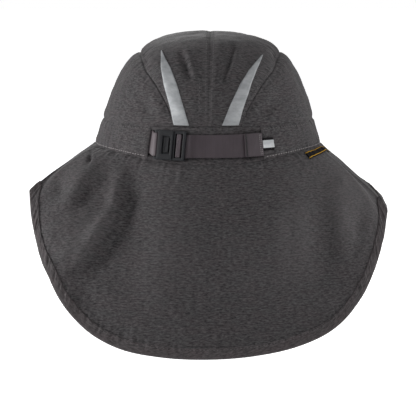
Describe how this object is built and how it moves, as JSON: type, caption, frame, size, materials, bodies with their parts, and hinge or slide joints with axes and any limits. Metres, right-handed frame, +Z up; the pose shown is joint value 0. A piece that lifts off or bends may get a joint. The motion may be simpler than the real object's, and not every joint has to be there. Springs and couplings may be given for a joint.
{
  "type": "rain hat with neck cape",
  "caption": "Soft rain hat with a rounded panelled crown, a stiffened front brim, a bound neck cape and an adjustable buckled strap across the back.",
  "frame": {"origin": "centre of the head opening, level with the seam at the sides where band, brim and cape meet; this is where the hat sits on a head", "axes": "+X towards the wearer's right, +Y towards the front of the hat, +Z up"},
  "size_m": [0.3037, 0.3123, 0.2618],
  "materials": {
    "cloth": "matt heathered woven shell cloth with fine horizontal slubs",
    "binding": "bias strip of the same cloth, stitched along its inner edge",
    "reflective_film": "smooth silver reflective tape",
    "webbing": "flat woven polyester webbing with a slight sheen",
    "buckle_plastic": "moulded satin plastic",
    "tab_tape": "black woven tape",
    "reflective_stripe": "smooth light silver reflective tape",
    "label_tape": "black woven label tape with a plain gold border"
  },
  "bodies": {
    "root": {"crown_top_left": "cloth", "crown_top_right": "cloth", "crown_side_left": "cloth", "crown_side_right": "cloth", "head_band": "cloth", "strap_panel": "cloth", "neck_cape": "cloth", "brim": "cloth", "cape_binding": "binding", "brim_binding": "binding", "reflector_left": "reflective_film", "reflector_right": "reflective_film", "strap_stub": "webbing", "strap_tail": "webbing", "strap_end": "webbing", "buckle_female": "buckle_plastic", "buckle_male": "buckle_plastic", "pull_tab": "tab_tape", "pull_tab_reflector": "reflective_stripe", "side_label": "label_tape"}
  },
  "joints": []
}
